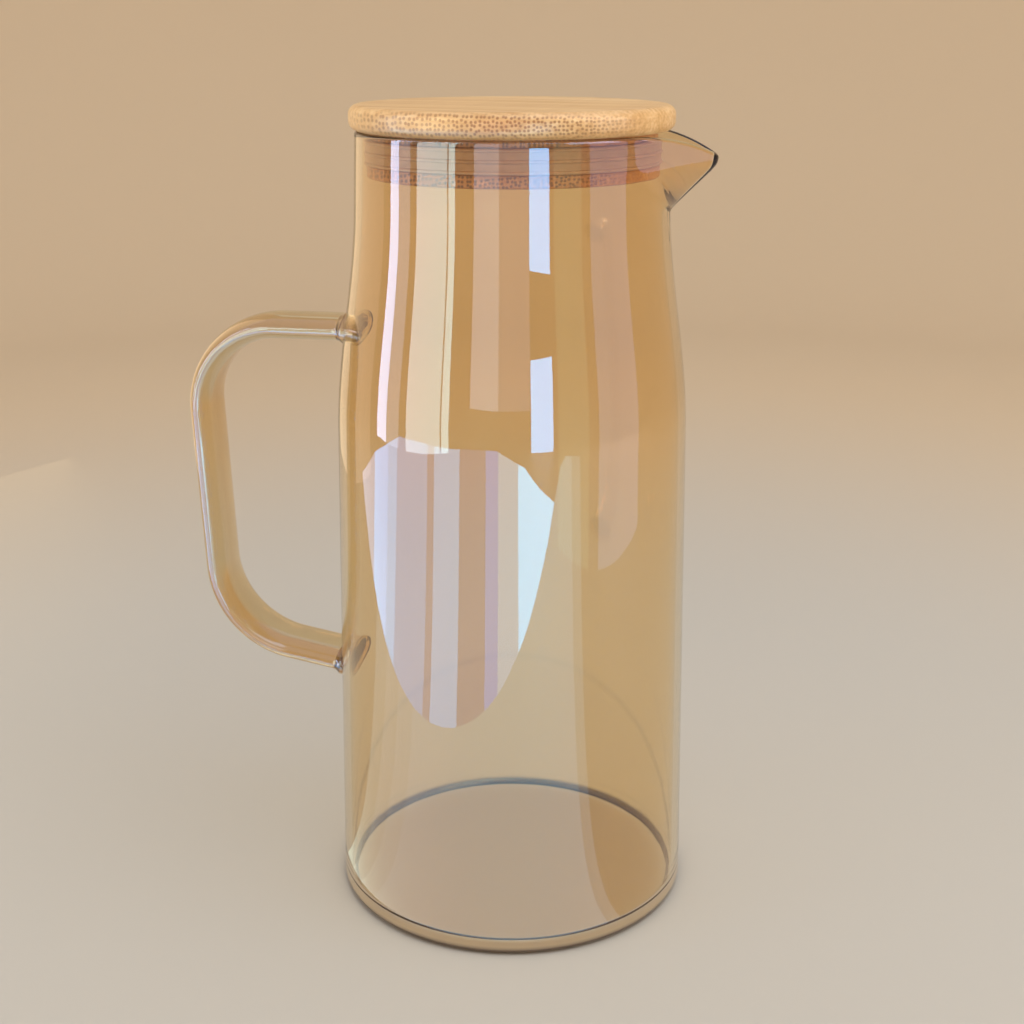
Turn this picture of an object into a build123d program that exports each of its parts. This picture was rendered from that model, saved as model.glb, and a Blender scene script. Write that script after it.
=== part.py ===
from build123d import *
from math import acos, cos, radians, sin, sqrt, tan
import os

# A glass pouring jug with a V spout, a strap handle and a bamboo lid with a silicone ring.
# Millimetres. The origin is the centre of the flat underside, +Z is up along the jug's axis,
# the spout points along +X and the handle stands out along -X.

# Glass vessel
foot_radius = 53.5
foot_corner = 3.0
waist_radius = 50.9
waist_height = 147.0
neck_radius = 44.5
neck_taper = 0.8
neck_length = 22.0
rim_height = 230.0
wall = 2.2
floor_thickness = 2.2
floor_corner = 4.5
rim_rounding = 0.9

# Spout
spout_length = 13.8
spout_root_drop = 21.4
spout_root_blend = 1.0
spout_lean = 47.0
spout_lip_blend = 1.2
spout_tip_drop = 6.0
spout_tip_inner_rounding = 1.0
spout_crease_step = 0.5
spout_dip_length = 21.9
spout_levels = 15

# Handle strap and the fused glass at its ends
strap_width = 20.8
strap_thickness = 7.5
grip_standoff = 44.0
upper_arm_height = 173.2
lower_corner_height = 75.7
grip_lean = 3.7
lower_arm_fall = 6.9
upper_bend_radius = 24.5
lower_bend_radius = 28.0
weld_length = 2.6
weld_flare = 1.2
weld_overrun = 6.0
weld_sections = 5

# Lid
lid_overhang = 1.5
lid_thickness = 6.9
lid_edge_rounding = 2.6
lid_rest_gap = 0.2
plug_clearance = 1.0
plug_depth = 12.4
plug_chamfer = 0.8
groove_depth = 2.4
groove_below_disc = 2.1
groove_height = 6.8

# Silicone ring
lip_count = 3
lip_height = 1.0
lip_clearance = 0.3
ring_core_proud = 0.3
ring_slack = 0.05

# Heights, radii and slopes that follow from the ones above
neck_height = rim_height - neck_length
rim_radius = neck_radius - neck_taper
side_slope = (waist_radius - foot_radius) / waist_height
neck_slope = (rim_radius - neck_radius) / neck_length
spout_root_height = rim_height - spout_root_drop
spout_tip_height = rim_height - spout_tip_drop
spout_reach = rim_radius + spout_length
spout_tip_rounding = spout_tip_inner_rounding + wall
grip_reach = waist_radius + grip_standoff
disc_underside = rim_height + lid_rest_gap
lid_radius = rim_radius + lid_overhang
plug_radius = rim_radius - wall - plug_clearance
plug_underside = disc_underside - plug_depth
groove_top = disc_underside - groove_below_disc
groove_bottom = groove_top - groove_height
groove_floor_radius = plug_radius - groove_depth


def neck_reach(height):
    # The outside radius of the neck, which narrows evenly towards the rim.
    return neck_radius + neck_slope * (height - neck_height)


def vessel_outline(inset, bottom):
    # The side, shoulder and neck as seen from the front, moved inwards by the inset. The
    # shoulder's middle points stand at thirds of its height and on the lines of the side and
    # the neck, so it leaves both of them without a corner.
    third = (neck_height - waist_height) / 3
    waist = Vector(waist_radius - inset, 0, waist_height)
    neck = Vector(neck_radius - inset, 0, neck_height)
    top = rim_height + lid_thickness
    side = Line((waist.X - side_slope * (waist_height - bottom), 0, bottom), waist)
    shoulder = Bezier(
        waist,
        waist + Vector(side_slope, 0, 1) * third,
        neck - Vector(neck_slope, 0, 1) * third,
        neck,
    )
    return side, shoulder, Line(neck, (neck_reach(top) - inset, 0, top))


def filled_vessel(inset, bottom, corner):
    # The solid inside one face of the wall, from its bottom up past the rim.
    side, shoulder, neck = vessel_outline(inset, bottom)
    axis_low = Vector(0, 0, bottom)
    axis_high = Vector(0, 0, (neck @ 1).Z)
    edges = [Line(axis_low, side @ 0), side, shoulder, neck]
    edges += [Line(neck @ 1, axis_high), Line(axis_high, axis_low)]
    face = make_face(edges)
    foot = face.vertices().group_by(Axis.Z)[0].sort_by(Axis.X)[-1]
    return revolve(fillet(foot, corner), Axis.Z)


def eased(amount, blend):
    # Zero below nought and the amount itself above it, with a soft bend between the two.
    return (amount + sqrt(amount ** 2 + blend ** 2)) / 2


def ridge_reach(height):
    # How far from the axis the spout's underside ridge stands at a height: it leaves the
    # neck, runs out at an even lean and turns upright again at the lip.
    slope = tan(radians(spout_lean))
    rise = height - spout_root_height
    start = neck_reach(height) - spout_crease_step
    excess = start + slope * rise - spout_reach
    return start + slope * eased(rise, spout_root_blend) - eased(excess, spout_lip_blend)


def crease_angle(height):
    # The angle round the axis, from the spout's tip, at which its sides leave the neck.
    circle = neck_reach(height) - spout_crease_step
    centre = ridge_reach(height) - spout_tip_rounding
    return acos((circle - spout_tip_rounding) / centre)


def spout_section(height, inset):
    # A level cut through the spout: two straight sides that leave a circle just inside the
    # neck and meet in a rounded tip, closed well inside the neck.
    circle = neck_reach(height) - spout_crease_step
    angle = crease_angle(height)
    direction = Vector(cos(angle), sin(angle), 0)
    mirrored = Vector(direction.X, -direction.Y, 0)
    tip_centre = Vector(ridge_reach(height) - spout_tip_rounding, 0, height)
    tip_radius = spout_tip_rounding - inset
    up = Vector(0, 0, height)
    start = direction * (circle - inset) + up
    end = mirrored * (circle - inset) + up
    tip_start = tip_centre + direction * tip_radius
    tip_end = tip_centre + mirrored * tip_radius
    tip = tip_centre + Vector(tip_radius, 0, 0)
    back = circle / 2
    back_start = Vector(back, start.Y, height)
    back_end = Vector(back, end.Y, height)
    edges = [Line(back_start, start), Line(start, tip_start)]
    edges += [ThreePointArc(tip_start, tip, tip_end), Line(tip_end, end)]
    edges += [Line(end, back_end), Line(back_end, back_start)]
    return make_face(edges)


def filled_spout(inset):
    lowest = spout_root_height - 2 * spout_root_blend
    highest = rim_height + 1
    step = (highest - lowest) / (spout_levels - 1)
    sections = [spout_section(lowest + step * i, inset) for i in range(spout_levels)]
    return loft(sections)


def above_rim():
    # Everything above the rim, whose line is level and then falls in one arc to the tip.
    far = spout_reach + 20
    top = rim_height + 3 * lid_thickness
    tip = Vector(ridge_reach(spout_tip_height), 0, spout_tip_height)
    level = Line((-far, 0, rim_height), (tip.X - spout_dip_length, 0, rim_height))
    dip = TangentArc(level @ 1, tip, tangent=level % 1)
    beyond = Line(dip @ 1, dip @ 1 + (dip % 1) * (far - spout_reach))
    lid_line = Polyline(beyond @ 1, (far, 0, top), (-far, 0, top), level @ 0)
    face = make_face([level, dip, beyond] + list(lid_line.edges()))
    return extrude(face, amount=2 * foot_radius, dir=(0, 1, 0), both=True)


def rim_softener():
    # The ring cut from the rim's top so that both its edges are rounded. It leaves out the
    # sector between the spout's creases, where the rim isn't round.
    low = rim_height - rim_rounding
    high = rim_height + rim_rounding
    outer = neck_reach(low)
    inner = outer - wall
    far_out = outer + rim_rounding
    far_in = inner - rim_rounding
    quarter = rim_rounding * (1 - sin(radians(45)))
    around = Polyline(
        (outer, 0, low),
        (far_out, 0, low),
        (far_out, 0, high),
        (far_in, 0, high),
        (far_in, 0, low),
        (inner, 0, low),
    )
    inner_round = ThreePointArc(
        (inner, 0, low),
        (inner + quarter, 0, rim_height - quarter),
        (inner + rim_rounding, 0, rim_height),
    )
    outer_round = ThreePointArc(
        (outer - rim_rounding, 0, rim_height),
        (outer - quarter, 0, rim_height - quarter),
        (outer, 0, low),
    )
    crest = Line(inner_round @ 1, outer_round @ 0)
    ring = revolve(make_face(list(around.edges()) + [inner_round, crest, outer_round]), Axis.Z)
    angle = crease_angle(rim_height)
    side = 2 * foot_radius
    corner = Vector(side * cos(angle), side * sin(angle), low)
    across = Vector(corner.X, -corner.Y, low)
    sector = make_face(Polyline((0, 0, low), corner, across, close=True))
    return ring - extrude(sector, amount=2 * rim_rounding, dir=(0, 0, 1))


def make_glass_body():
    outside = filled_vessel(0, 0, foot_corner) + filled_spout(0)
    inside = filled_vessel(wall, floor_thickness, floor_corner) + filled_spout(wall)
    return outside - inside - above_rim() - rim_softener()


def wall_reach(height):
    # The outside radius of the glass at a height on the side or the shoulder.
    side, shoulder, _ = vessel_outline(0, 0)
    along_side = height / waist_height
    along_shoulder = (height - waist_height) / (neck_height - waist_height)
    if height < waist_height:
        return side.position_at(along_side, position_mode=PositionMode.PARAMETER).X
    return shoulder.position_at(along_shoulder, position_mode=PositionMode.PARAMETER).X


def handle_corners():
    # The corners of the strap's centre line, from the upper weld round to the lower one.
    lower_arm_height = lower_corner_height - lower_arm_fall
    return [
        Vector(-wall_reach(upper_arm_height), 0, upper_arm_height),
        Vector(-grip_reach, 0, upper_arm_height),
        Vector(grip_lean - grip_reach, 0, lower_corner_height),
        Vector(-wall_reach(lower_arm_height), 0, lower_arm_height),
    ]


def strap_line():
    # The centre line, which stops short of the glass by the length of each weld.
    upper_wall, upper_corner, lower_corner, lower_wall = handle_corners()
    upper_end = upper_wall + (upper_corner - upper_wall).normalized() * weld_length
    lower_end = lower_wall + (lower_corner - lower_wall).normalized() * weld_length
    return FilletPolyline(
        upper_end,
        upper_corner,
        lower_corner,
        lower_end,
        radius=[upper_bend_radius, lower_bend_radius],
    )


def strap_section(at, direction, grow):
    # The strap's flattened oval, square to its centre line, grown evenly all round.
    plane = Plane(origin=at, x_dir=(0, 1, 0), z_dir=direction)
    return plane * Ellipse(strap_width / 2 + grow, strap_thickness / 2 + grow)


def make_glass_handle():
    line = strap_line()
    return sweep(strap_section(line @ 0, line % 0, 0), path=line)


def make_weld(wall_point, corner):
    # Glass squeezed out where the hot strap was pressed on: it flares in a hollow curve from
    # the strap's end, runs on into the wall with the same outline and is cut to the wall's
    # outside.
    outward = (corner - wall_point).normalized()
    strap_end = wall_point + outward * weld_length
    sections = []
    for number in range(weld_sections):
        along = weld_length * number / (weld_sections - 1)
        flare = weld_flare * (along / weld_length) ** 2
        sections.append(strap_section(strap_end - outward * along, outward, flare))
    flared = loft(sections)
    flat = strap_section(wall_point, outward, weld_flare)
    run_on = extrude(flat, amount=weld_overrun, dir=outward * -1)
    return flared + run_on - filled_vessel(0, 0, foot_corner)


def make_lid_disc():
    disc = Pos(0, 0, disc_underside) * extrude(Circle(lid_radius), lid_thickness)
    return fillet(disc.edges().filter_by(GeomType.CIRCLE), lid_edge_rounding)


def make_lid_plug():
    outline = Polyline(
        (0, 0, plug_underside),
        (plug_radius - plug_chamfer, 0, plug_underside),
        (plug_radius, 0, plug_underside + plug_chamfer),
        (plug_radius, 0, groove_bottom),
        (groove_floor_radius, 0, groove_bottom),
        (groove_floor_radius, 0, groove_top),
        (plug_radius, 0, groove_top),
        (plug_radius, 0, disc_underside),
        (0, 0, disc_underside),
        close=True,
    )
    return revolve(make_face(outline), Axis.Z)


def make_seal_ring():
    # A band in the groove with rounded lips that reach almost to the neck's inside.
    inner = groove_floor_radius + ring_slack
    core = plug_radius + ring_core_proud
    lip_tip = rim_radius - wall - lip_clearance
    low = groove_bottom + ring_slack
    high = groove_top - ring_slack
    band = Polyline((inner, 0, low), (core, 0, low), (core, 0, high), (inner, 0, high), close=True)
    ring = revolve(make_face(band), Axis.Z)
    spacing = (high - low - lip_height) / (lip_count - 1)
    for number in range(lip_count):
        middle = low + lip_height / 2 + number * spacing
        tip_centre = lip_tip - lip_height / 2
        lip = Polyline(
            (core - lip_height, 0, middle - lip_height / 2),
            (tip_centre, 0, middle - lip_height / 2),
            (tip_centre, 0, middle + lip_height / 2),
            (core - lip_height, 0, middle + lip_height / 2),
            close=True,
        )
        bead = Plane.XZ * Pos(tip_centre, middle) * Circle(lip_height / 2)
        ring += revolve(make_face(lip), Axis.Z) + revolve(bead, Axis.Z)
    return ring


def main():
    upper_wall, upper_corner, lower_corner, lower_wall = handle_corners()
    pieces = {
        "glass_body": make_glass_body(),
        "glass_handle": make_glass_handle(),
        "upper_handle_weld": make_weld(upper_wall, upper_corner),
        "lower_handle_weld": make_weld(lower_wall, lower_corner),
        "lid_disc": make_lid_disc(),
        "lid_plug": make_lid_plug(),
        "seal_ring": make_seal_ring(),
    }
    os.makedirs("parts", exist_ok=True)
    for name, piece in pieces.items():
        export_step(piece, f"parts/{name}.step")


main()
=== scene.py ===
from math import acos, atan2, cos, degrees, pi, radians, sin, sqrt, tan

import bpy
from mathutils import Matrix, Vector


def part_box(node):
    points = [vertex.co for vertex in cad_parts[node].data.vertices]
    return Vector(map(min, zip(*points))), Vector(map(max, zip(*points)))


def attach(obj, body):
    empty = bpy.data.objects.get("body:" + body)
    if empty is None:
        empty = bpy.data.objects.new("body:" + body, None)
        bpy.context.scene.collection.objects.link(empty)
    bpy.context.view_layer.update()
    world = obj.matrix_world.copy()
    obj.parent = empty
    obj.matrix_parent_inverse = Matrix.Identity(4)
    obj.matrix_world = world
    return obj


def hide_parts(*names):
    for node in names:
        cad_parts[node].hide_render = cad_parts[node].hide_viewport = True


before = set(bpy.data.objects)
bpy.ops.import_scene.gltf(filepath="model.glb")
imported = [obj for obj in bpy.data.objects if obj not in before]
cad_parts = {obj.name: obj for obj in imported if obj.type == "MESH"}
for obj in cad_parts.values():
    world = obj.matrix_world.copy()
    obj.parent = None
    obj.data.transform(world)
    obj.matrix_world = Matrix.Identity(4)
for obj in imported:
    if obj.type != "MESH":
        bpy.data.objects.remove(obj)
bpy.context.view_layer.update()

# Sizes are in millimetres and in the part's own frame: the jug's axis is Z, the spout points
# along +X and the handle along -X.
MM = 0.001

# Glass vessel
FOOT_RADIUS = 53.5
FOOT_CORNER = 3.0
WAIST_RADIUS = 50.9
WAIST_HEIGHT = 147.0
NECK_RADIUS = 44.5
NECK_TAPER = 0.8
NECK_LENGTH = 22.0
RIM_HEIGHT = 230.0
WALL = 2.2
FLOOR_THICKNESS = 2.2
FLOOR_CORNER = 4.5
RIM_ROUNDING = 0.9

# Spout
SPOUT_LENGTH = 13.8
SPOUT_ROOT_DROP = 21.4
SPOUT_ROOT_BLEND = 1.0
SPOUT_LEAN = 47.0
SPOUT_LIP_BLEND = 1.2
SPOUT_TIP_DROP = 6.0
SPOUT_TIP_ROUNDING = 3.2
SPOUT_CREASE_STEP = 0.5
SPOUT_CREASE_BLEND = 0.35
SPOUT_DIP_LENGTH = 21.9
SPOUT_PULL_START = 200.0

# Handle strap
STRAP_WIDTH = 20.8
STRAP_THICKNESS = 7.5
GRIP_STANDOFF = 44.0
UPPER_ARM_HEIGHT = 173.2
LOWER_CORNER_HEIGHT = 75.7
GRIP_LEAN = 3.7
LOWER_ARM_FALL = 6.9
UPPER_BEND_RADIUS = 24.5
LOWER_BEND_RADIUS = 28.0
WELD_LENGTH = 2.6
WELD_FLARE = 1.2
STRAP_SINK = 2.2

# Lid
LID_EDGE_ROUNDING = 2.6
PLUG_CHAMFER = 0.8
GROOVE_DEPTH = 2.4
GROOVE_BELOW_DISC = 2.1
GROOVE_HEIGHT = 6.8
GROOVE_EDGE_ROUNDING = 0.25
LIP_COUNT = 3
LIP_HEIGHT = 1.0
RING_SLACK = 0.05
RING_CORE_PROUD = 0.3

# How finely the pieces are divided
BODY_SEGMENTS = 360
LID_SEGMENTS = 180
FOOT_STEPS = 10
BOWL_STEPS = 12
SIDE_STEPS = 16
SHOULDER_STEPS = 20
SPOUT_STEPS = 36
RIM_STEPS = 5
UNDERSIDE_RINGS = (20.0, 44.0)
FLOOR_RINGS = (20.0, 40.0)
SPOUT_CROWDING = 0.8  # below 1, the body's columns of faces crowd towards the spout's tip
STRAP_SIDES = 64
STRAP_BEND_STEPS = 36
WELD_STEPS = 14
LID_RING = 20.0
LID_EDGE_STEPS = 10
PLUG_EDGE_STEPS = 6
GROOVE_EDGE_STEPS = 4
LIP_STEPS = 8
SMOOTH_ANGLE = radians(35)
MERGE_DISTANCE = 0.002

# Values that follow from the ones above
NECK_HEIGHT = RIM_HEIGHT - NECK_LENGTH
RIM_RADIUS = NECK_RADIUS - NECK_TAPER
SIDE_SLOPE = (WAIST_RADIUS - FOOT_RADIUS) / WAIST_HEIGHT
NECK_SLOPE = -NECK_TAPER / NECK_LENGTH
SPOUT_REACH = RIM_RADIUS + SPOUT_LENGTH
SPOUT_ROOT_HEIGHT = RIM_HEIGHT - SPOUT_ROOT_DROP
SPOUT_TIP_HEIGHT = RIM_HEIGHT - SPOUT_TIP_DROP
GRIP_REACH = WAIST_RADIUS + GRIP_STANDOFF


# Modelling helpers

def deselect_all():
    bpy.ops.object.select_all(action="DESELECT")


def arc(centre, radius, start, end, steps):
    """Points (radius from the axis, height) on an arc, from one angle in degrees to another."""
    points = []
    for number in range(steps + 1):
        angle = radians(start + (end - start) * number / steps)
        points.append((centre[0] + radius * cos(angle), centre[1] + radius * sin(angle)))
    return points


def between(start, end, steps):
    """Numbers from start to end in even steps, without the start."""
    return [start + (end - start) * number / steps for number in range(1, steps + 1)]


def finish_piece(piece, body, nodes):
    """Smooths a piece, puts its place into its mesh and hands it to the frame."""
    deselect_all()
    piece.select_set(True)
    bpy.context.view_layer.objects.active = piece
    bpy.ops.object.transform_apply(location=True, rotation=True, scale=True)
    bpy.ops.object.shade_smooth_by_angle(angle=SMOOTH_ANGLE)
    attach(piece, body)
    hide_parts(*nodes)
    deselect_all()


def turned(name, outline, segments):
    """A round piece: a point is drawn along the outline, which is then spun about the axis."""
    deselect_all()
    bpy.ops.mesh.primitive_plane_add(size=MM)
    piece = bpy.context.object
    piece.name = name
    bpy.ops.object.mode_set(mode="EDIT")
    bpy.ops.mesh.merge(type="CENTER")
    start_radius, start_height = outline[0]
    bpy.ops.transform.translate(value=(start_radius * MM, 0, start_height * MM))
    for (last_radius, last_height), (radius, height) in zip(outline, outline[1:]):
        step = ((radius - last_radius) * MM, 0, (height - last_height) * MM)
        bpy.ops.mesh.extrude_region_move(TRANSFORM_OT_translate={"value": step})
    bpy.ops.mesh.select_all(action="SELECT")
    bpy.ops.mesh.spin(steps=segments, angle=2 * pi, center=(0, 0, 0), axis=(0, 0, 1))
    bpy.ops.mesh.select_all(action="SELECT")
    bpy.ops.mesh.remove_doubles(threshold=MERGE_DISTANCE * MM)
    bpy.ops.mesh.normals_make_consistent(inside=False)
    bpy.ops.object.mode_set(mode="OBJECT")
    return piece


# Glass body

def outside_radius(height):
    """The outside of the side, shoulder and neck, as in the part's own outline."""
    if height <= WAIST_HEIGHT:
        return WAIST_RADIUS + SIDE_SLOPE * (height - WAIST_HEIGHT)
    if height >= NECK_HEIGHT:
        return NECK_RADIUS + NECK_SLOPE * (height - NECK_HEIGHT)
    span = NECK_HEIGHT - WAIST_HEIGHT
    part = (height - WAIST_HEIGHT) / span
    rest = 1 - part
    low_handle = WAIST_RADIUS + SIDE_SLOPE * span / 3
    high_handle = NECK_RADIUS - NECK_SLOPE * span / 3
    low = rest ** 3 * WAIST_RADIUS + 3 * rest ** 2 * part * low_handle
    return low + 3 * rest * part ** 2 * high_handle + part ** 3 * NECK_RADIUS


def body_outline():
    """The wall's outline from the middle of the underside, over the rim, to the middle of the
    inner floor."""
    lean = degrees(atan2(-SIDE_SLOPE, 1))
    foot_centre = (FOOT_RADIUS + SIDE_SLOPE * FOOT_CORNER - FOOT_CORNER, FOOT_CORNER)
    bowl_height = FLOOR_THICKNESS + FLOOR_CORNER
    bowl_centre = (outside_radius(bowl_height) - WALL - FLOOR_CORNER, bowl_height)
    low = RIM_HEIGHT - RIM_ROUNDING
    outer = outside_radius(low)
    inner = outer - WALL

    foot = arc(foot_centre, FOOT_CORNER, -90, lean, FOOT_STEPS)
    bowl = arc(bowl_centre, FLOOR_CORNER, lean, -90, BOWL_STEPS)
    heights = between(foot[-1][1], WAIST_HEIGHT, SIDE_STEPS)
    heights += between(WAIST_HEIGHT, SPOUT_PULL_START, SHOULDER_STEPS)
    heights += between(SPOUT_PULL_START, low, SPOUT_STEPS)
    clear_of_bowl = bowl[0][1] + 4
    inner_heights = [height for height in reversed(heights[:-1]) if height > clear_of_bowl]

    outline = [(0.0, 0.0)]
    outline += [(radius, 0.0) for radius in UNDERSIDE_RINGS]
    outline += foot
    outline += [(outside_radius(height), height) for height in heights]
    outline += arc((outer - RIM_ROUNDING, low), RIM_ROUNDING, 0, 90, RIM_STEPS)[1:]
    outline += arc((inner + RIM_ROUNDING, low), RIM_ROUNDING, 90, 180, RIM_STEPS)
    outline += [(outside_radius(height) - WALL, height) for height in inner_heights]
    outline += bowl
    outline += [(radius, FLOOR_THICKNESS) for radius in reversed(FLOOR_RINGS)]
    outline += [(0.0, FLOOR_THICKNESS)]
    return outline


def eased(amount, blend):
    """Zero below nought and the amount itself above it, with a soft bend between."""
    return (amount + sqrt(amount ** 2 + blend ** 2)) / 2


def ridge_reach(height):
    """How far from the axis the ridge under the spout stands at a height."""
    slope = tan(radians(SPOUT_LEAN))
    rise = height - SPOUT_ROOT_HEIGHT
    start = NECK_RADIUS + NECK_SLOPE * (height - NECK_HEIGHT) - SPOUT_CREASE_STEP
    excess = start + slope * rise - SPOUT_REACH
    return start + slope * eased(rise, SPOUT_ROOT_BLEND) - eased(excess, SPOUT_LIP_BLEND)


def rim_line(forward):
    """The rim's height at a distance towards the spout: level, then one arc down to the tip."""
    start = ridge_reach(SPOUT_TIP_HEIGHT) - SPOUT_DIP_LENGTH
    if forward <= start:
        return RIM_HEIGHT
    bend = (SPOUT_DIP_LENGTH ** 2 + SPOUT_TIP_DROP ** 2) / (2 * SPOUT_TIP_DROP)
    return RIM_HEIGHT - bend + sqrt(bend ** 2 - min(forward - start, bend) ** 2)


def spout_radius(angle, height, inset):
    """The distance from the axis of the neck with its spout, at an angle from the tip."""
    neck = outside_radius(height) - inset
    tip = SPOUT_TIP_ROUNDING - inset
    circle = NECK_RADIUS + NECK_SLOPE * (height - NECK_HEIGHT) - SPOUT_CREASE_STEP
    centre = ridge_reach(height) - SPOUT_TIP_ROUNDING
    crease = acos(min(1, (circle - SPOUT_TIP_ROUNDING) / centre))
    tip_end = atan2(tip * sin(crease), centre + tip * cos(crease))
    away = abs(angle)
    if away >= crease:
        return neck
    if away > tip_end:
        wedge = (circle - inset) / cos(away - crease)
    else:
        wedge = centre * cos(away) + sqrt(tip ** 2 - (centre * sin(away)) ** 2)
    blend = SPOUT_CREASE_BLEND
    spare = eased(-SPOUT_CREASE_STEP, blend)
    return neck + eased(wedge - neck, blend) - spare


def rim_top(angle, inset):
    """The rim's height in one direction, found by stepping towards it from the level rim."""
    top = RIM_HEIGHT
    tries = 12
    for _ in range(tries):
        top = rim_line(spout_radius(angle, top, inset) * cos(angle))
    return top


def pull_spout(body):
    """Draws the V spout out of the round neck: the mesh is first crowded towards the tip, and
    then every point keeps its place in the wall while the wall moves out and the rim dips."""
    tops = {}
    for vertex in body.data.vertices:
        x, y, z = (value / MM for value in vertex.co)
        radius = sqrt(x * x + y * y)
        if radius < 1e-6:
            continue
        angle = atan2(y, x)
        side = 1 if angle >= 0 else -1
        angle = side * pi * (abs(angle) / pi) ** (1 / SPOUT_CROWDING)
        if z > SPOUT_PULL_START:
            inset = outside_radius(z) - radius
            part = (z - SPOUT_PULL_START) / (RIM_HEIGHT - SPOUT_PULL_START)
            column = (round(angle, 5), round(inset, 3))
            if column not in tops:
                tops[column] = rim_top(angle, inset)
            top = tops[column]
            z = SPOUT_PULL_START + part * (top - SPOUT_PULL_START)
            radius = spout_radius(angle, z, inset)
        vertex.co = Vector((radius * cos(angle), radius * sin(angle), z)) * MM
    body.data.update()


def make_glass_body():
    body = turned("jug_glass_body", body_outline(), BODY_SEGMENTS)
    pull_spout(body)
    finish_piece(body, "jug", ["glass_body"])
    return body


# Glass handle

def strap_corners():
    """The corners of the strap's centre line, from the wall's outside at the top to the bottom."""
    lower_arm_height = LOWER_CORNER_HEIGHT - LOWER_ARM_FALL
    return [
        Vector((-outside_radius(UPPER_ARM_HEIGHT), 0, UPPER_ARM_HEIGHT)),
        Vector((-GRIP_REACH, 0, UPPER_ARM_HEIGHT)),
        Vector((GRIP_LEAN - GRIP_REACH, 0, LOWER_CORNER_HEIGHT)),
        Vector((-outside_radius(lower_arm_height), 0, lower_arm_height)),
    ]


def weld_scale(distance):
    """How much wider and thicker the strap is at a distance from the wall's outside."""
    near = max(0, 1 - max(0, distance) / WELD_LENGTH)
    flare = WELD_FLARE * near ** 2
    return 1 + 2 * flare / STRAP_WIDTH, 1 + 2 * flare / STRAP_THICKNESS


def push(direction, length, pieces=1):
    """Extrudes the selected ring along a direction, in one or more even steps."""
    for _ in range(pieces):
        step = direction * (length / pieces) * MM
        bpy.ops.mesh.extrude_region_move(TRANSFORM_OT_translate={"value": step})


def bend(corner, into, out, radius, steps):
    """Spins the selected ring round a corner of the strap's centre line."""
    turn = into.angle(out)
    start = corner - into * radius * tan(turn / 2)
    inward = (out - into * out.dot(into)).normalized()
    centre = start + inward * radius
    bpy.ops.mesh.spin(steps=steps, angle=turn, center=centre * MM, axis=inward.cross(into))


def flare_ends(strap, corners):
    """Swells the strap's last few millimetres into the hollow curve of the fused glass."""
    for end, toward in ((corners[0], corners[1]), (corners[3], corners[2])):
        outward = (toward - end).normalized()
        thick = outward.cross(Vector((0, 1, 0)))
        for vertex in strap.data.vertices:
            place = vertex.co / MM - end
            distance = place.dot(outward)
            if place.length > STRAP_WIDTH or distance > WELD_LENGTH:
                continue
            wide_scale, thick_scale = weld_scale(distance)
            wide = Vector((0, place.y * (wide_scale - 1), 0))
            swell = thick * place.dot(thick) * (thick_scale - 1)
            vertex.co += (wide + swell) * MM
    strap.data.update()


def make_glass_handle():
    corners = strap_corners()
    out, grip, back = [(b - a).normalized() for a, b in zip(corners, corners[1:])]
    upper_cut = UPPER_BEND_RADIUS * tan(out.angle(grip) / 2)
    lower_cut = LOWER_BEND_RADIUS * tan(grip.angle(back) / 2)
    deselect_all()
    bpy.ops.mesh.primitive_circle_add(vertices=STRAP_SIDES, radius=MM)
    strap = bpy.context.object
    strap.name = "jug_glass_handle"
    bpy.ops.object.mode_set(mode="EDIT")
    bpy.ops.transform.resize(value=(STRAP_THICKNESS / 2, STRAP_WIDTH / 2, 1))
    bpy.ops.object.mode_set(mode="OBJECT")
    start = corners[0] - out * STRAP_SINK
    for vertex in strap.data.vertices:
        vertex.co = Vector((start.x * MM, vertex.co.y, start.z * MM + vertex.co.x))
    bpy.ops.object.mode_set(mode="EDIT")
    bpy.ops.mesh.select_all(action="SELECT")
    push(out, STRAP_SINK + WELD_LENGTH, WELD_STEPS)
    push(out, (corners[1] - corners[0]).length - WELD_LENGTH - upper_cut)
    bend(corners[1], out, grip, UPPER_BEND_RADIUS, STRAP_BEND_STEPS)
    push(grip, (corners[2] - corners[1]).length - upper_cut - lower_cut)
    bend(corners[2], grip, back, LOWER_BEND_RADIUS, STRAP_BEND_STEPS)
    push(back, (corners[3] - corners[2]).length - WELD_LENGTH - lower_cut)
    push(back, STRAP_SINK + WELD_LENGTH, WELD_STEPS)
    bpy.ops.mesh.select_all(action="SELECT")
    bpy.ops.mesh.region_to_loop()
    bpy.ops.mesh.edge_face_add()
    bpy.ops.mesh.select_all(action="SELECT")
    bpy.ops.mesh.normals_make_consistent(inside=False)
    bpy.ops.object.mode_set(mode="OBJECT")
    flare_ends(strap, corners)
    nodes = ["glass_handle", "upper_handle_weld", "lower_handle_weld"]
    finish_piece(strap, "jug", nodes)
    return strap


# Lid

def node_size(node):
    """A round node's radius, lowest and highest point, in millimetres."""
    low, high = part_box(node)
    return high.x / MM, low.z / MM, high.z / MM


def make_lid_disc():
    radius, low, high = node_size("lid_disc")
    edge = LID_EDGE_ROUNDING
    outline = [(0.0, low), (LID_RING, low)]
    outline += arc((radius - edge, low + edge), edge, -90, 0, LID_EDGE_STEPS)
    outline += arc((radius - edge, high - edge), edge, 0, 90, LID_EDGE_STEPS)
    outline += [(LID_RING, high), (0.0, high)]
    disc = turned("lid_bamboo_disc", outline, LID_SEGMENTS)
    finish_piece(disc, "lid", ["lid_disc"])
    return disc


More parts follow.
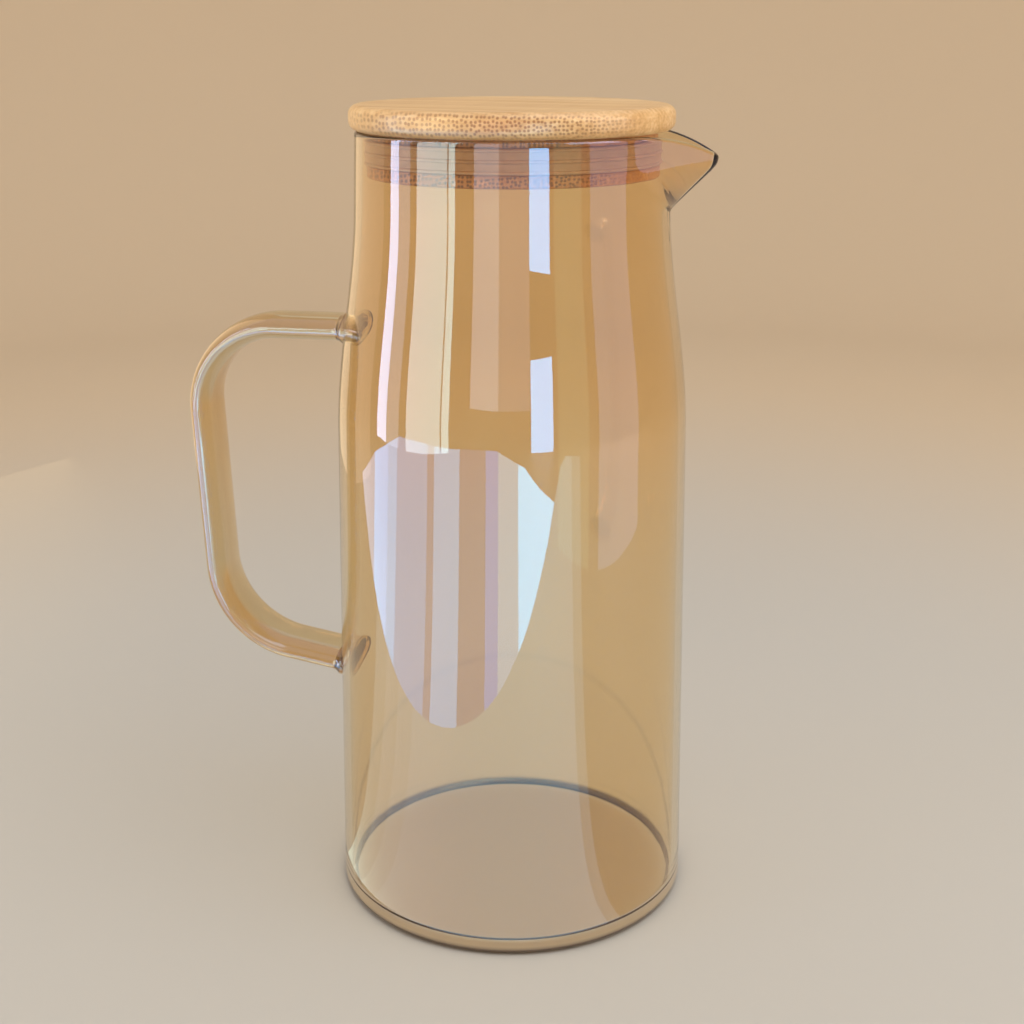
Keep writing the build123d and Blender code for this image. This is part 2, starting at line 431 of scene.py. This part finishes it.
def make_lid_plug():
    radius, low, high = node_size("lid_plug")
    groove_top = high - GROOVE_BELOW_DISC
    groove_bottom = groove_top - GROOVE_HEIGHT
    edge = PLUG_CHAMFER
    soft = GROOVE_EDGE_ROUNDING
    outline = [(0.0, low), (LID_RING, low)]
    outline += arc((radius - edge, low + edge), edge, -90, 0, PLUG_EDGE_STEPS)
    outline += arc((radius - soft, groove_bottom - soft), soft, 0, 90, GROOVE_EDGE_STEPS)
    outline += [(radius - GROOVE_DEPTH, groove_bottom), (radius - GROOVE_DEPTH, groove_top)]
    outline += arc((radius - soft, groove_top + soft), soft, -90, 0, GROOVE_EDGE_STEPS)
    outline += [(radius, high), (LID_RING, high), (0.0, high)]
    plug = turned("lid_bamboo_plug", outline, LID_SEGMENTS)
    finish_piece(plug, "lid", ["lid_plug"])
    return plug


def make_seal_ring():
    radius, low, high = node_size("seal_ring")
    plug_radius = node_size("lid_plug")[0]
    inner = plug_radius - GROOVE_DEPTH + RING_SLACK
    core = plug_radius + RING_CORE_PROUD
    round_radius = LIP_HEIGHT / 2
    outline = [(inner, low), (radius - round_radius, low)]
    spacing = (high - low - LIP_HEIGHT) / (LIP_COUNT - 1)
    for number in range(LIP_COUNT):
        middle = low + round_radius + number * spacing
        outline += arc((radius - round_radius, middle), round_radius, -90, 90, LIP_STEPS)
        if number < LIP_COUNT - 1:
            outline.append((core, middle + round_radius))
            outline.append((core, middle + spacing - round_radius))
    outline += [(inner, high), (inner, low)]
    clean = outline[:1]
    for point in outline[1:]:
        if point != clean[-1]:
            clean.append(point)
    ring = turned("lid_seal_ring", clean, LID_SEGMENTS)
    finish_piece(ring, "lid", ["seal_ring"])
    return ring


# Materials

def colour(code):
    """An sRGB hex colour as the linear values that shaders take."""
    channels = [int(code[i:i + 2], 16) / 255 for i in (1, 3, 5)]
    linear = [c / 12.92 if c <= 0.04045 else ((c + 0.055) / 1.055) ** 2.4 for c in channels]
    return (*linear, 1.0)


def add(tree, kind, settings=None, stops=(), **inputs):
    """Adds a node. An input given a socket is linked, and any other is set; a name's
    underscores stand for spaces, and in0, in1 and so on are inputs by number. The stops of a
    colour ramp are (position, hex colour), in rising order."""
    node = tree.nodes.new(kind)
    for name, value in (settings or {}).items():
        setattr(node, name, value)
    for number, (position, code) in enumerate(stops):
        elements = node.color_ramp.elements
        element = elements[number] if number < len(elements) else elements.new(position)
        element.position = position
        element.color = colour(code)
    for name, value in inputs.items():
        if name[:2] == "in" and name[2:].isdigit():
            socket = node.inputs[int(name[2:])]
        else:
            socket = node.inputs[name.replace("_", " ")]
        if isinstance(value, bpy.types.NodeSocket):
            tree.links.new(value, socket)
        else:
            socket.default_value = value
    return node


def new_material(name):
    material = bpy.data.materials.new(name)
    material.use_nodes = True
    material.node_tree.nodes.clear()
    return material, material.node_tree


GLASS_INDEX = 1.47
LUSTRE_INDEX = 1.6
LUSTRE_THICKNESS = 206.0  # nanometres
PAINTED_FOOT_SHADE = (1.8, 3.2)  # distances from the foot's edge where the painted shade at the foot's corner starts to fade and is gone
FOOT_SHADE_HEIGHT = 8.0  # the height up to which the foot holds back some of the light


def lustre_glass(name, tint):
    # Borosilicate glass, drawn and blown, with a fired-on amber lustre a fraction of a
    # micrometre thick. The lustre takes out blue from what is seen through it and turns
    # reflections pink and lilac; the drawing leaves very faint upright waves. Lamps and soft
    # light pass straight through, as they do through a thin real wall, but the base holds some
    # of it back. The foot's outer corner has painted shade: its glass is tinted dark there.
    material, tree = new_material(name)
    coords = add(tree, "ShaderNodeTexCoord").outputs["Object"]
    stretched = add(tree, "ShaderNodeMapping", Vector=coords, Scale=(1, 1, 0.06))
    waves = add(
        tree, "ShaderNodeTexNoise", {"noise_dimensions": "3D"},
        Vector=stretched.outputs["Vector"], Scale=110.0, Detail=1.0, Roughness=0.4,
    )
    wavy = add(
        tree, "ShaderNodeBump",
        Height=waves.outputs["Fac"], Strength=0.12, Distance=0.2 * MM,
    )
    height = add(tree, "ShaderNodeSeparateXYZ", Vector=coords).outputs["Z"]
    flat = add(tree, "ShaderNodeMapping", Vector=coords, Scale=(1, 1, 0))
    reach = add(tree, "ShaderNodeVectorMath", {"operation": "LENGTH"}, in0=flat.outputs["Vector"])
    short_of_edge = add(
        tree, "ShaderNodeMath", {"operation": "SUBTRACT"},
        in0=reach.outputs["Value"], in1=FOOT_RADIUS * MM,
    )
    from_edge = add(tree, "ShaderNodeCombineXYZ", X=short_of_edge.outputs["Value"], Z=height)
    distance = add(
        tree, "ShaderNodeVectorMath", {"operation": "LENGTH"}, in0=from_edge.outputs["Vector"],
    )
    near_edge = add(
        tree, "ShaderNodeMapRange", Value=distance.outputs["Value"],
        From_Min=PAINTED_FOOT_SHADE[0] * MM, From_Max=PAINTED_FOOT_SHADE[1] * MM,
    )
    # painted shade: the glass's tint turns dark brown near the foot's outer corner, to show a dark
    # line round the foot
    tint_with_painted_foot_shade = add(
        tree, "ShaderNodeValToRGB", Fac=near_edge.outputs["Result"],
        stops=[(0.0, "#3C3229"), (1.0, tint)],
    )
    up_the_foot = add(
        tree, "ShaderNodeMapRange", Value=height, From_Min=0, From_Max=FOOT_SHADE_HEIGHT * MM,
    )
    glass = add(
        tree, "ShaderNodeBsdfPrincipled",
        Base_Color=tint_with_painted_foot_shade.outputs["Color"], Normal=wavy.outputs["Normal"],
        Roughness=0.0, IOR=GLASS_INDEX, Transmission_Weight=1.0,
        Thin_Film_Thickness=LUSTRE_THICKNESS, Thin_Film_IOR=LUSTRE_INDEX,
    )
    path = add(tree, "ShaderNodeLightPath")
    passed = add(
        tree, "ShaderNodeValToRGB", Fac=up_the_foot.outputs["Result"],
        stops=[(0.2, "#4A3C38"), (0.262, "#DCCEBC"), (0.7, "#FDFAF4")],
    )
    clear = add(tree, "ShaderNodeBsdfTransparent", Color=passed.outputs["Color"])
    for_lamps = add(
        tree, "ShaderNodeMixShader", Fac=path.outputs["Is Shadow Ray"],
        in1=glass.outputs["BSDF"], in2=clear.outputs["BSDF"],
    )
    for_soft_light = add(
        tree, "ShaderNodeMixShader", Fac=path.outputs["Is Diffuse Ray"],
        in1=for_lamps.outputs["Shader"], in2=clear.outputs["BSDF"],
    )
    add(tree, "ShaderNodeOutputMaterial", Surface=for_soft_light.outputs["Shader"])
    return material


FACE_ANGLE = radians(-15)  # the way the fibres of the board's thin faces run, from the spout
CORE_ANGLE = radians(-95)  # and those of its thick core, which crosses them
BUNDLE_DENSITY = 0.86  # vascular bundles in a millimetre, across the fibres
BUNDLE_TREND = 0.0065  # how much that grows with each millimetre towards the culm's outside
BUNDLE_SIZE = (0.22, 0.44)  # where a bundle's dark heart and its soft edge end, in spacings
LID_MIDDLE = RIM_HEIGHT + 3.5  # the middle of the disc's side, where rows of bundles are level


def bundle_coordinates(tree, across, up):
    """Counts the bundles from the jug's axis, so that they crowd towards the culm's outside."""
    across_mm = add(tree, "ShaderNodeMath", {"operation": "DIVIDE"}, in0=across, in1=MM)
    mean_density = add(
        tree, "ShaderNodeMath", {"operation": "MULTIPLY_ADD"},
        in0=across_mm.outputs["Value"], in1=BUNDLE_TREND / 2, in2=BUNDLE_DENSITY,
    )
    density = add(
        tree, "ShaderNodeMath", {"operation": "MULTIPLY_ADD"},
        in0=across_mm.outputs["Value"], in1=BUNDLE_TREND, in2=BUNDLE_DENSITY,
    )
    up_mm = add(tree, "ShaderNodeMath", {"operation": "DIVIDE"}, in0=up, in1=MM)
    column = add(
        tree, "ShaderNodeMath", {"operation": "MULTIPLY"},
        in0=across_mm.outputs["Value"], in1=mean_density.outputs["Value"],
    )
    row = add(
        tree, "ShaderNodeMath", {"operation": "MULTIPLY"},
        in0=up_mm.outputs["Value"], in1=density.outputs["Value"],
    )
    return add(
        tree, "ShaderNodeCombineXYZ", X=column.outputs["Value"], Y=row.outputs["Value"],
    ).outputs["Vector"]


def bamboo(name, ground_colours, bundle_colour):
    # Bamboo board, sanded and lightly oiled. Its core, cut across, shows crowded dark vascular
    # bundles about a millimetre apart, which get smaller and closer towards the outside of the
    # culm. Its faces show the same bundles lengthwise, as long fine streaks, and its broad
    # strips differ a little in tone.
    material, tree = new_material(name)
    coords = add(tree, "ShaderNodeTexCoord").outputs["Object"]
    core = add(
        tree, "ShaderNodeMapping",
        Vector=coords, Rotation=(0, 0, -CORE_ANGLE), Location=(0, 0, -LID_MIDDLE * MM),
    )
    parts = add(tree, "ShaderNodeSeparateXYZ", Vector=core.outputs["Vector"])
    face = add(tree, "ShaderNodeMapping", Vector=coords, Rotation=(0, 0, -FACE_ANGLE))
    lengthened = add(tree, "ShaderNodeMapping", Vector=face.outputs["Vector"], Scale=(0.03, 1, 1))
    cells = add(
        tree, "ShaderNodeTexVoronoi", {"voronoi_dimensions": "2D", "feature": "F1"},
        Vector=bundle_coordinates(tree, parts.outputs["Y"], parts.outputs["Z"]),
        Scale=1.0, Randomness=0.5,
    )
    bundles = add(
        tree, "ShaderNodeMapRange", {"interpolation_type": "SMOOTHSTEP"},
        Value=cells.outputs["Distance"], To_Min=1.0, To_Max=0.0,
        From_Min=BUNDLE_SIZE[0], From_Max=BUNDLE_SIZE[1],
    )
    streaks = add(
        tree, "ShaderNodeTexNoise", {"noise_dimensions": "3D"},
        Vector=lengthened.outputs["Vector"], Scale=900.0, Detail=4.0, Roughness=0.65,
    )
    strips = add(
        tree, "ShaderNodeTexNoise", {"noise_dimensions": "3D"},
        Vector=lengthened.outputs["Vector"], Scale=90.0, Detail=2.0, Roughness=0.5,
    )
    ground = add(
        tree, "ShaderNodeValToRGB", stops=zip((0.3, 0.5, 0.7), ground_colours),
        Fac=streaks.outputs["Fac"],
    )
    tone = add(
        tree, "ShaderNodeValToRGB", stops=[(0.35, "#E9D9C0"), (0.65, "#FFFFFF")],
        Fac=strips.outputs["Fac"],
    )
    toned = add(
        tree, "ShaderNodeMix", {"data_type": "RGBA", "blend_type": "MULTIPLY"},
        in0=0.8, in6=ground.outputs["Color"], in7=tone.outputs["Color"],
    )
    normal = add(tree, "ShaderNodeNewGeometry").outputs["Normal"]
    fibre = (cos(CORE_ANGLE), sin(CORE_ANGLE), 0)
    facing = add(tree, "ShaderNodeVectorMath", {"operation": "DOT_PRODUCT"}, in0=normal, in1=fibre)
    cut_across = add(tree, "ShaderNodeMath", {"operation": "ABSOLUTE"}, in0=facing.outputs["Value"])
    strength = add(
        tree, "ShaderNodeMapRange", Value=cut_across.outputs["Value"],
        From_Min=0.45, From_Max=0.85, To_Min=0.1, To_Max=0.85,
    )
    dots = add(
        tree, "ShaderNodeMath", {"operation": "MULTIPLY"},
        in0=bundles.outputs["Result"], in1=strength.outputs["Result"],
    )
    coloured = add(
        tree, "ShaderNodeMix", {"data_type": "RGBA"},
        in0=dots.outputs["Value"], in6=toned.outputs["Result"], in7=colour(bundle_colour),
    )
    dents = add(
        tree, "ShaderNodeBump",
        Height=dots.outputs["Value"], Strength=0.35, Distance=-0.08 * MM,
    )
    shine = add(
        tree, "ShaderNodeMapRange", Value=streaks.outputs["Fac"],
        From_Min=0.3, From_Max=0.7, To_Min=0.48, To_Max=0.34,
    )
    surface = add(
        tree, "ShaderNodeBsdfPrincipled",
        Base_Color=coloured.outputs["Result"], Roughness=shine.outputs["Result"],
        IOR=1.5, Coat_Weight=0.3, Coat_Roughness=0.22, Normal=dents.outputs["Normal"],
    )
    add(tree, "ShaderNodeOutputMaterial", Surface=surface.outputs["BSDF"])
    return material


def silicone():
    # Moulded food-grade silicone: milky, soft and slightly dusty, so light glows a little
    # through its thin lips and its highlights are broad.
    material, tree = new_material("milky_moulded_silicone")
    coords = add(tree, "ShaderNodeTexCoord").outputs["Object"]
    dust = add(
        tree, "ShaderNodeTexNoise", {"noise_dimensions": "3D"},
        Vector=coords, Scale=700.0, Detail=3.0, Roughness=0.6,
    )
    shine = add(
        tree, "ShaderNodeMapRange", Value=dust.outputs["Fac"],
        From_Min=0.3, From_Max=0.7, To_Min=0.32, To_Max=0.5,
    )
    tint = add(
        tree, "ShaderNodeValToRGB", stops=[(0.3, "#A88262"), (0.7, "#B58D6E")],
        Fac=dust.outputs["Fac"],
    )
    surface = add(
        tree, "ShaderNodeBsdfPrincipled",
        Base_Color=tint.outputs["Color"], Roughness=shine.outputs["Result"], IOR=1.41,
        Subsurface_Weight=0.3, Subsurface_Radius=(1.5, 1.0, 0.7), Subsurface_Scale=MM,
    )
    add(tree, "ShaderNodeOutputMaterial", Surface=surface.outputs["BSDF"])
    return material


def paper():
    # A matt pale studio surface, a little warmer away from the object.
    material, tree = new_material("pale_studio_paper")
    coords = add(tree, "ShaderNodeTexCoord").outputs["Object"]
    reach = add(tree, "ShaderNodeVectorMath", {"operation": "LENGTH"}, in0=coords)
    part = add(
        tree, "ShaderNodeMapRange", {"interpolation_type": "SMOOTHSTEP"},
        Value=reach.outputs["Value"], From_Min=0.2, From_Max=0.75,
    )
    tint = add(
        tree, "ShaderNodeValToRGB", stops=[(0.0, "#C5C3BC"), (1.0, "#DDCAAE")],
        Fac=part.outputs["Result"],
    )
    surface = add(
        tree, "ShaderNodeBsdfPrincipled",
        Base_Color=tint.outputs["Color"], Roughness=0.6, IOR=1.25,
    )
    add(tree, "ShaderNodeOutputMaterial", Surface=surface.outputs["BSDF"])
    return material


# Stage, light and camera

STAGE_RISE = 0.05  # the floor stands this far over the foot's flat, so that they never coincide
STAGE_RINGS = (250.0, 550.0)
STAGE_REACH = 900.0
COVE_RADIUS = 400.0
COVE_HEIGHT = 1300.0
COVE_STEPS = 24
STAGE_SEGMENTS = 96

VIEW_AZIMUTH = 10.0  # the photograph was taken from a little towards the spout's side
VIEW_DISTANCE = 436.9
VIEW_HEIGHT = 258.8
VIEW_PITCH = 17.8
IMAGE_SIDE = 1024
FOCAL_PIXELS = 1529.5
SENSOR_WIDTH = 36.0
LIGHT_BOUNCES = 24  # enough to see through the strap, the body and what stands in it

# The cards that the glass mirrors. A band is (azimuth where it starts, colour), from the left.
CARD_WHITE = "#FAFFE0"  # makes up for the lustre, which mirrors least of green
BAND_LIMIT = 120  # the azimuth, to either side, that bands can reach
WALL_BANDS = [
    (-120, "#000000"), (-92, "#DDE2FF"), (-84, "#737075"), (-74, "#000000"),
    (-68, "#CABDB4"), (-44.6, "#202020"), (-43.6, "#D2C8BE"), (-39, "#000000"),
]
COUNTER_BANDS = [
    (-120, "#7080A0"), (-96, "#78B0E8"), (-84, "#64A0D0"), (-76, "#4878A8"), (-54, "#20386C"),
    (-49, "#6890B8"), (-32, "#1C3060"), (-16, "#2060A8"), (-9, "#8C94A8"), (3, "#A8DCFF"),
]
NEAR_BANDS = [
    (-120, "#000000"), (-92, "#8BA1AA"), (-82, "#A9C1CC"), (-72, "#BFDBE7"), (-60, "#D3F1FF"),
    (36, "#9BB1BC"), (42, "#000000"),
]
FRONT_BANDS = [(-120, "#000000"), (-26, "#FFD0DC"), (-9, "#A78193"), (13, "#000000")]
SIDE_BANDS = [(-120, "#B0B68C"), (46, "#000000"), (53, "#C4D0FF")]
BACK_BANDS = [(-120, "#FFE4D0")]
WINDOW_BANDS = [(-120, "#A6CCFF")]
LID_BANDS = [(-120, "#FFF4E8")]
COUNTER_EDGE = 206.3  # from the jug's axis to the edge that cuts the low reflection off
COUNTER_TURN = -42.0
COUNTER_DEPTH = 690.0
COUNTER_LENGTH = 1000.0
NEAR_REACH = 500.0
NEAR_LENGTH = 1500.0
CARD_RISE = 1.0  # the height of a card that lies on the floor
FOOT_CLEARANCE = 60.0  # from the jug's axis to where the card that lies round it starts to glow


def make_floor():
    outline = [(0.0, 0.0)]
    outline += [(radius, 0.0) for radius in STAGE_RINGS]
    outline += arc((STAGE_REACH, COVE_RADIUS), COVE_RADIUS, -90, 0, COVE_STEPS)
    outline += [(STAGE_REACH + COVE_RADIUS, COVE_HEIGHT)]
    raised = [(radius, height + STAGE_RISE) for radius, height in outline]
    floor = turned("studio_floor", raised, STAGE_SEGMENTS)
    floor.data.flip_normals()
    deselect_all()
    floor.select_set(True)
    bpy.ops.object.shade_smooth_by_angle(angle=SMOOTH_ANGLE)
    floor.data.materials.append(paper())


def stand_panel(name, azimuth, distance, width, low, high, code, strength):
    """An upright rectangular light that faces the jug's axis. The azimuth is measured from
    the photograph's view, positive to its right. Its strength is the brightness of its face."""
    around = radians(VIEW_AZIMUTH + azimuth)
    light = bpy.data.lights.new(name, "AREA")
    light.shape = "RECTANGLE"
    light.size = width * MM
    light.size_y = (high - low) * MM
    light.color = colour(code)[:3]
    light.energy = strength * pi * light.size * light.size_y
    lamp = bpy.data.objects.new(name, light)
    bpy.context.scene.collection.objects.link(lamp)
    middle = (low + high) / 2
    across = sin(around) * distance
    ahead = cos(around) * distance
    lamp.location = Vector((across, -ahead, middle)) * MM
    lamp.rotation_euler = (radians(90), 0, around)
    lamp.visible_camera = False
    return lamp


def softbox(name, *placing):
    """A panel that lights the scene but isn't mirrored in the glass."""
    lamp = stand_panel(name, *placing)
    lamp.visible_glossy = False
    lamp.visible_transmission = False


def reflector(name, bands, *placing):
    """An upright card that only shiny surfaces mirror: it can't be seen through the glass."""
    lamp = stand_panel(name, *placing)
    lamp.visible_diffuse = False
    lamp.visible_transmission = False
    paint_bands(lamp, bands)


def paint_bands(lamp, bands):
    """Gives a card upright bands, each seen from the jug's axis between two azimuths. What lies
    under the jug stays dark."""
    lamp.data.use_nodes = True
    tree = lamp.data.node_tree
    tree.nodes.clear()
    place = add(tree, "ShaderNodeNewGeometry").outputs["Position"]
    facing = add(tree, "ShaderNodeMapping", Vector=place, Rotation=(0, 0, -radians(VIEW_AZIMUTH)))
    parts = add(tree, "ShaderNodeSeparateXYZ", Vector=facing.outputs["Vector"])
    ahead = add(tree, "ShaderNodeMath", {"operation": "MULTIPLY"}, in0=parts.outputs["Y"], in1=-1.0)
    azimuth = add(
        tree, "ShaderNodeMath", {"operation": "ARCTAN2"},
        in0=parts.outputs["X"], in1=ahead.outputs["Value"],
    )
    part = add(
        tree, "ShaderNodeMapRange", Value=azimuth.outputs["Value"],
        From_Min=radians(-BAND_LIMIT), From_Max=radians(BAND_LIMIT),
    )
    stops = [((start + BAND_LIMIT) / (2 * BAND_LIMIT), code) for start, code in bands]
    shade = add(tree, "ShaderNodeValToRGB", stops=stops, Fac=part.outputs["Result"])
    shade.color_ramp.interpolation = "CONSTANT"
    flat = add(tree, "ShaderNodeMapping", Vector=place, Scale=(1, 1, 0))
    reach = add(tree, "ShaderNodeVectorMath", {"operation": "LENGTH"}, in0=flat.outputs["Vector"])
    clear_of_jug = add(
        tree, "ShaderNodeMath", {"operation": "GREATER_THAN"},
        in0=reach.outputs["Value"], in1=FOOT_CLEARANCE * MM,
    )
    glow = add(
        tree, "ShaderNodeEmission",
        Color=shade.outputs["Color"], Strength=clear_of_jug.outputs["Value"],
    )
    add(tree, "ShaderNodeOutputLight", Surface=glow.outputs["Emission"])


def floor_reflector(name, bands, azimuth, start, depth, length, strength):
    """A card that lies on the floor, from one straight edge to another further out. The start
    is the first edge's distance from the jug's axis, below nought where it lies behind it. The
    round wall mirrors such an edge as a long tongue."""
    lamp = stand_panel(
        name, azimuth, start + depth / 2, length, 0, depth, CARD_WHITE, strength,
    )
    lamp.rotation_euler = (radians(180), 0, lamp.rotation_euler.z)
    lamp.location.z = CARD_RISE * MM
    lamp.visible_diffuse = False
    lamp.visible_transmission = False
    paint_bands(lamp, bands)


def top_light():
    """A round softbox above the jug, to its right and a little in front of it."""
    light = bpy.data.lights.new("top_softbox", "AREA")
    light.shape = "DISK"
    light.size = 0.9
    light.color = colour("#FFFAF4")[:3]
    light.energy = 5.0
    lamp = bpy.data.objects.new("top_softbox", light)
    bpy.context.scene.collection.objects.link(lamp)
    lamp.location = (0.35, -0.25, 1.15)
    towards_jug = Vector((-0.35, 0.25, -1.0))
    lamp.rotation_euler = towards_jug.to_track_quat("-Z", "Y").to_euler()
    lamp.visible_camera = False


def make_world():
    world = bpy.data.worlds.new("soft_daylight")
    world.use_nodes = True
    tree = world.node_tree
    tree.nodes.clear()
    sky = add(tree, "ShaderNodeBackground", Color=colour("#F2F6FF"), Strength=0.75)
    add(tree, "ShaderNodeOutputWorld", Surface=sky.outputs["Background"])
    bpy.context.scene.world = world


def make_lights():
    make_world()
    top_light()
    # The numbers are azimuth, distance, width, lower edge and upper edge, and last the strength.
    softbox("left_softbox", -70, 900, 500, 250, 1000, "#FFF9F2", 2.1)
    softbox("right_softbox", 70, 900, 500, 100, 600, "#FFF9F2", 3.3)
    reflector("wall_reflector", WALL_BANDS, -66, 450, 600, 60, 700, CARD_WHITE, 13.0)
    reflector("back_reflector", BACK_BANDS, -125, 500, 470, 0, 700, CARD_WHITE, 0.93)
    reflector("front_reflector", FRONT_BANDS, -9, 450, 330, 150, 500, CARD_WHITE, 4.1)
    reflector("window_reflector", WINDOW_BANDS, 18.5, 880, 213, 0, 232, CARD_WHITE, 14.2)
    reflector("side_reflector", SIDE_BANDS, 56, 400, 430, 0, 700, CARD_WHITE, 1.67)
    reflector("lid_reflector", LID_BANDS, 60, 450, 340, 290, 600, "#FFFFFF", 5.0)
    floor_reflector(
        "counter_reflector", COUNTER_BANDS, COUNTER_TURN,
        COUNTER_EDGE, COUNTER_DEPTH, COUNTER_LENGTH, 13.0,
    )
    floor_reflector(
        "near_reflector", NEAR_BANDS, COUNTER_TURN,
        -NEAR_REACH, NEAR_REACH + COUNTER_EDGE, NEAR_LENGTH, 2.4,
    )


def make_camera():
    around = radians(VIEW_AZIMUTH)
    camera = bpy.data.cameras.new("photo_view")
    camera.sensor_width = SENSOR_WIDTH
    camera.lens = FOCAL_PIXELS / IMAGE_SIDE * SENSOR_WIDTH
    camera.clip_start = 0.01
    camera.clip_end = 20
    holder = bpy.data.objects.new("photo_view", camera)
    bpy.context.scene.collection.objects.link(holder)
    across = sin(around) * VIEW_DISTANCE
    back = cos(around) * VIEW_DISTANCE
    holder.location = Vector((across, -back, VIEW_HEIGHT)) * MM
    holder.rotation_euler = (radians(90 - VIEW_PITCH), 0, around)
    bpy.context.scene.camera = holder


def main():
    glass = lustre_glass("amber_lustre_borosilicate_wall", "#F9E9C8")
    strap_glass = lustre_glass("amber_lustre_borosilicate_strap", "#E6D0A4")
    board = bamboo("oiled_bamboo_board", ("#D2A66D", "#E5BF89", "#F0D0A0"), "#96622F")
    # The plug's board is the lid's bamboo with painted shade: the same board, coloured darker and
    # redder for the shade it sits in under the lid.
    board_with_painted_shade = bamboo("bamboo_board_with_painted_shade", ("#A86A30", "#BC7E3C", "#CC8E4C"), "#5C2C10")
    seal = silicone()
    for make, material in (
        (make_glass_body, glass),
        (make_glass_handle, strap_glass),
        (make_lid_disc, board),
        (make_lid_plug, board_with_painted_shade),
        (make_seal_ring, seal),
    ):
        piece = make()
        piece.data.materials.clear()
        piece.data.materials.append(material)
    make_floor()
    make_lights()
    make_camera()
    bpy.context.scene.view_settings.view_transform = "Standard"
    # What is seen through the jug may lie behind many crossings of its wall. Light that the glass
    # bends or mirrors adds nothing to the floor, so the shadow stays soft and even.
    bpy.context.scene.cycles.caustics_refractive = False
    bpy.context.scene.cycles.caustics_reflective = False
    bpy.context.scene.cycles.max_bounces = LIGHT_BOUNCES
    bpy.context.scene.cycles.transmission_bounces = LIGHT_BOUNCES


main()
